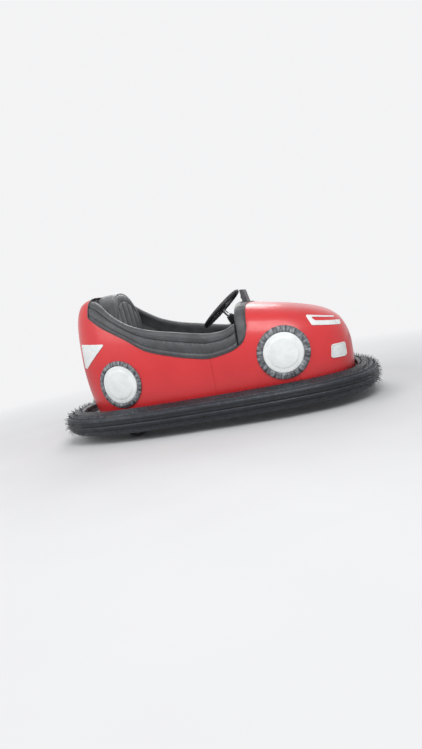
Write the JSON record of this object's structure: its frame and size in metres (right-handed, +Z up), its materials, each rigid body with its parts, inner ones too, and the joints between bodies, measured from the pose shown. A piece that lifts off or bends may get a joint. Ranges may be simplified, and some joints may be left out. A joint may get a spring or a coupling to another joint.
{
  "type": "bumper car",
  "caption": "Single-seat fairground bumper car: moulded open body, padded cockpit edge, rubber bumper ring, swivelling driven front wheel and fixed rear wheels.",
  "frame": {"origin": "on the floor, under the centre of the bumper ring", "axes": "+X forwards, +Y to the driver's left, +Z up"},
  "size_m": [1.95, 1.15, 0.8659],
  "materials": {
    "bumper_rubber": "matt, dusty on top",
    "black_steel": "semi-gloss black paint",
    "floor_steel": "raised tread plate",
    "cast_metal": "as cast",
    "bright_steel": "turned",
    "motor_paint": "dark grey enamel",
    "red_moulding": "gloss gelcoat",
    "black_moulding": "satin, grained",
    "grey_moulding": "satin",
    "black_vinyl": "grained upholstery vinyl, stitched",
    "battery_case": "moulded",
    "grip_rubber": "fine grained grip",
    "wheel_rubber": "solid rubber",
    "white_lens": "opal, gloss"
  },
  "bodies": {
    "chassis": {"bumper_tyre": "bumper_rubber", "bumper_rim": "black_steel", "frame_rails": "black_steel", "frame_cross": "black_steel", "frame_outriggers": "black_steel", "floor_plate": "floor_steel", "drive_bridge": "black_steel", "race_ring": "cast_metal", "body_front": "red_moulding", "body_rear": "red_moulding", "side_pad_left": "black_vinyl", "side_pad_right": "black_vinyl", "dash_pad": "black_vinyl", "dash_panel": "black_moulding", "dash_pod": "black_moulding", "tub_left": "black_moulding", "tub_right": "black_moulding", "drive_cover": "black_moulding", "seat_base": "black_moulding", "seat_cushion": "black_vinyl", "seat_back": "black_vinyl", "battery_blocks": "battery_case", "accelerator_pedal": "floor_steel", "steering_gearbox": "cast_metal", "column_jacket": "black_steel", "column_bracket": "black_steel", "rear_bracket_left": "black_steel", "rear_bracket_right": "black_steel", "wheel_rings": "grey_moulding", "wheel_discs": "white_lens", "head_lamps": "white_lens", "fog_lamps": "white_lens", "tail_lamps": "white_lens"},
    "steering": {"steering_shaft": "bright_steel", "steering_wheel": "grip_rubber", "steering_boss": "black_moulding"},
    "drive_unit": {"drive_fork": "black_steel", "drive_motor": "motor_paint", "gear_case": "cast_metal"},
    "drive_wheel": {"drive_tyre": "wheel_rubber", "drive_hub": "cast_metal"},
    "rear_wheel_left": {"rear_tyre_left": "wheel_rubber", "rear_hub_left": "cast_metal"},
    "rear_wheel_right": {"rear_tyre_right": "wheel_rubber", "rear_hub_right": "cast_metal"}
  },
  "joints": [
    {"name": "drive_swivel", "type": "hinge", "parent": "chassis", "child": "drive_unit", "pos_m": [0.385, 0, 0.23], "axis": [0, 0, 1], "continuous": true},
    {"name": "steering_turn", "type": "hinge", "parent": "chassis", "child": "steering", "pos_m": [0.104, 0, 0.645], "axis": [-0.6164, 0, 0.7875], "continuous": true},
    {"name": "drive_spin", "type": "hinge", "parent": "drive_unit", "child": "drive_wheel", "pos_m": [0.385, 0, 0.1], "axis": [0, 1, 0], "continuous": true},
    {"name": "rear_left_spin", "type": "hinge", "parent": "chassis", "child": "rear_wheel_left", "pos_m": [-0.47, 0.345, 0.08], "axis": [0, 1, 0], "continuous": true},
    {"name": "rear_right_spin", "type": "hinge", "parent": "chassis", "child": "rear_wheel_right", "pos_m": [-0.47, -0.345, 0.08], "axis": [0, 1, 0], "continuous": true}
  ],
  "couplings": [
    {"joint": "steering_turn", "follows": "drive_swivel", "ratio": 1}
  ]
}
